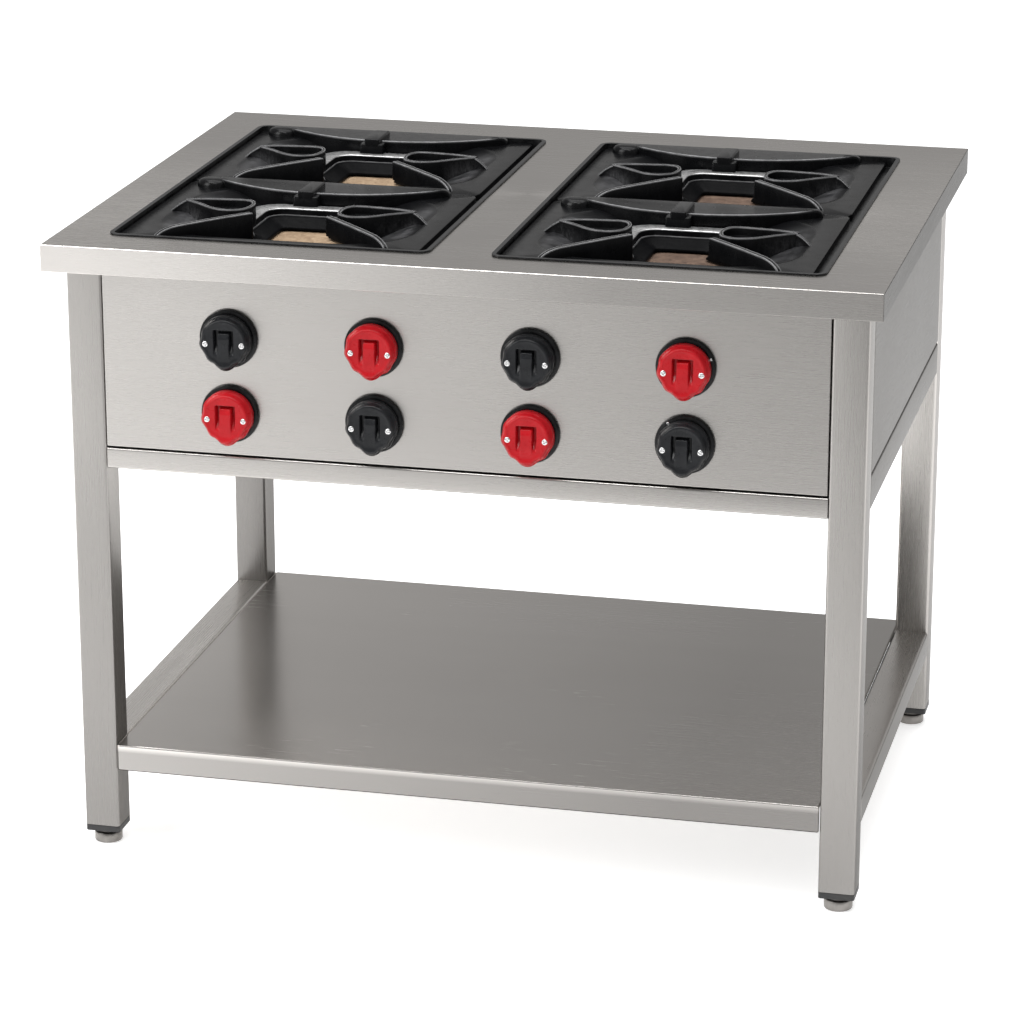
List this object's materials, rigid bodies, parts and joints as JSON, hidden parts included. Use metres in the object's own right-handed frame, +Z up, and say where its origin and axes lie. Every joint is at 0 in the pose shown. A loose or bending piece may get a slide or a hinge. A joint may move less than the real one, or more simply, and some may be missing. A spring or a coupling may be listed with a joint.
{
  "type": "commercial gas range",
  "caption": "Open-stand stainless gas range: worktop with black cast-iron pan supports over burners, a front panel of red and black knobs, square legs and a low sheet shelf.",
  "frame": {"origin": "on the floor under the middle of the worktop", "axes": "+X to the cook's right, +Y to the back, +Z up; the cook stands at -Y"},
  "size_m": [1.1, 0.85, 0.8623],
  "materials": {
    "brushed_steel": "satin brushed stainless sheet and tube",
    "turned_steel": "turned stainless, satin",
    "plain_steel": "dull sheet, heat stained",
    "cast_iron": "black semi-gloss enamel on rough casting, worn grey on the high spots",
    "black_enamel": "semi-gloss black enamel",
    "burner_iron": "heat-stained tan and rust",
    "black_plastic": "satin moulded",
    "knob_black": "glossy moulded",
    "knob_red": "glossy moulded",
    "valve_brass": "machined",
    "pipe_steel": "grey painted steel pipe"
  },
  "bodies": {
    "stand": {"worktop": "brushed_steel", "bottom_shelf": "brushed_steel", "front_rail": "brushed_steel", "rear_rail": "brushed_steel", "side_rail_left": "brushed_steel", "side_rail_right": "brushed_steel", "shelf_rail_left": "brushed_steel", "shelf_rail_right": "brushed_steel", "top_rail_front": "brushed_steel", "top_rail_rear": "brushed_steel", "control_panel": "brushed_steel", "side_panel_left": "brushed_steel", "side_panel_right": "brushed_steel", "back_panel": "brushed_steel", "leg_front_left": "brushed_steel", "leg_rear_left": "brushed_steel", "leg_front_right": "brushed_steel", "leg_rear_right": "brushed_steel", "leg_cap_front_left": "black_plastic", "leg_cap_rear_left": "black_plastic", "leg_cap_front_right": "black_plastic", "leg_cap_rear_right": "black_plastic", "opening_frame_left": "black_enamel", "opening_frame_right": "black_enamel", "burner_front_left": "burner_iron", "burner_rear_left": "burner_iron", "burner_front_right": "burner_iron", "burner_rear_right": "burner_iron", "burner_bar_front": "plain_steel", "burner_bar_rear": "plain_steel", "drip_pan": "plain_steel", "knob_bezel_upper_1": "black_enamel", "knob_bezel_lower_1": "black_enamel", "knob_bezel_upper_2": "black_enamel", "knob_bezel_lower_2": "black_enamel", "knob_bezel_upper_3": "black_enamel", "knob_bezel_lower_3": "black_enamel", "knob_bezel_upper_4": "black_enamel", "knob_bezel_lower_4": "black_enamel", "twin_valve_1": "valve_brass", "twin_valve_2": "valve_brass", "twin_valve_3": "valve_brass", "twin_valve_4": "valve_brass", "gas_manifold": "pipe_steel"},
    "knob_upper_1": {"knob_upper_1": "knob_black"},
    "knob_lower_1": {"knob_lower_1": "knob_red"},
    "knob_upper_2": {"knob_upper_2": "knob_red"},
    "knob_lower_2": {"knob_lower_2": "knob_black"},
    "knob_upper_3": {"knob_upper_3": "knob_black"},
    "knob_lower_3": {"knob_lower_3": "knob_red"},
    "knob_upper_4": {"knob_upper_4": "knob_red"},
    "knob_lower_4": {"knob_lower_4": "knob_black"},
    "pan_support_front_left": {"pan_support_front_left": "cast_iron"},
    "pan_support_rear_left": {"pan_support_rear_left": "cast_iron"},
    "pan_support_front_right": {"pan_support_front_right": "cast_iron"},
    "pan_support_rear_right": {"pan_support_rear_right": "cast_iron"},
    "foot_front_left": {"levelling_foot_front_left": "turned_steel"},
    "foot_rear_left": {"levelling_foot_rear_left": "turned_steel"},
    "foot_front_right": {"levelling_foot_front_right": "turned_steel"},
    "foot_rear_right": {"levelling_foot_rear_right": "turned_steel"}
  },
  "joints": [
    {"name": "turn_knob_upper_1", "type": "hinge", "parent": "stand", "child": "knob_upper_1", "pos_m": [-0.308, -0.387, 0.73], "axis": [0, -1, 0], "range_deg": [0, 90]},
    {"name": "turn_knob_lower_1", "type": "hinge", "parent": "stand", "child": "knob_lower_1", "pos_m": [-0.308, -0.387, 0.6285], "axis": [0, -1, 0], "range_deg": [0, 90]},
    {"name": "turn_knob_upper_2", "type": "hinge", "parent": "stand", "child": "knob_upper_2", "pos_m": [-0.113, -0.387, 0.73], "axis": [0, -1, 0], "range_deg": [0, 90]},
    {"name": "turn_knob_lower_2", "type": "hinge", "parent": "stand", "child": "knob_lower_2", "pos_m": [-0.113, -0.387, 0.6285], "axis": [0, -1, 0], "range_deg": [0, 90]},
    {"name": "turn_knob_upper_3", "type": "hinge", "parent": "stand", "child": "knob_upper_3", "pos_m": [0.094, -0.387, 0.73], "axis": [0, -1, 0], "range_deg": [0, 90]},
    {"name": "turn_knob_lower_3", "type": "hinge", "parent": "stand", "child": "knob_lower_3", "pos_m": [0.094, -0.387, 0.6285], "axis": [0, -1, 0], "range_deg": [0, 90]},
    {"name": "turn_knob_upper_4", "type": "hinge", "parent": "stand", "child": "knob_upper_4", "pos_m": [0.296, -0.387, 0.73], "axis": [0, -1, 0], "range_deg": [0, 90]},
    {"name": "turn_knob_lower_4", "type": "hinge", "parent": "stand", "child": "knob_lower_4", "pos_m": [0.296, -0.387, 0.6285], "axis": [0, -1, 0], "range_deg": [0, 90]},
    {"name": "lift_pan_support_front_left", "type": "slide", "parent": "stand", "child": "pan_support_front_left", "axis": [0, 0, 1], "range_m": [0, 0.12]},
    {"name": "lift_pan_support_rear_left", "type": "slide", "parent": "stand", "child": "pan_support_rear_left", "axis": [0, 0, 1], "range_m": [0, 0.12]},
    {"name": "lift_pan_support_front_right", "type": "slide", "parent": "stand", "child": "pan_support_front_right", "axis": [0, 0, 1], "range_m": [0, 0.12]},
    {"name": "lift_pan_support_rear_right", "type": "slide", "parent": "stand", "child": "pan_support_rear_right", "axis": [0, 0, 1], "range_m": [0, 0.12]},
    {"name": "screw_foot_front_left", "type": "slide", "parent": "stand", "child": "foot_front_left", "axis": [0, 0, 1], "range_m": [-0.02, 0]},
    {"name": "screw_foot_rear_left", "type": "slide", "parent": "stand", "child": "foot_rear_left", "axis": [0, 0, 1], "range_m": [-0.02, 0]},
    {"name": "screw_foot_front_right", "type": "slide", "parent": "stand", "child": "foot_front_right", "axis": [0, 0, 1], "range_m": [-0.02, 0]},
    {"name": "screw_foot_rear_right", "type": "slide", "parent": "stand", "child": "foot_rear_right", "axis": [0, 0, 1], "range_m": [-0.02, 0]}
  ]
}
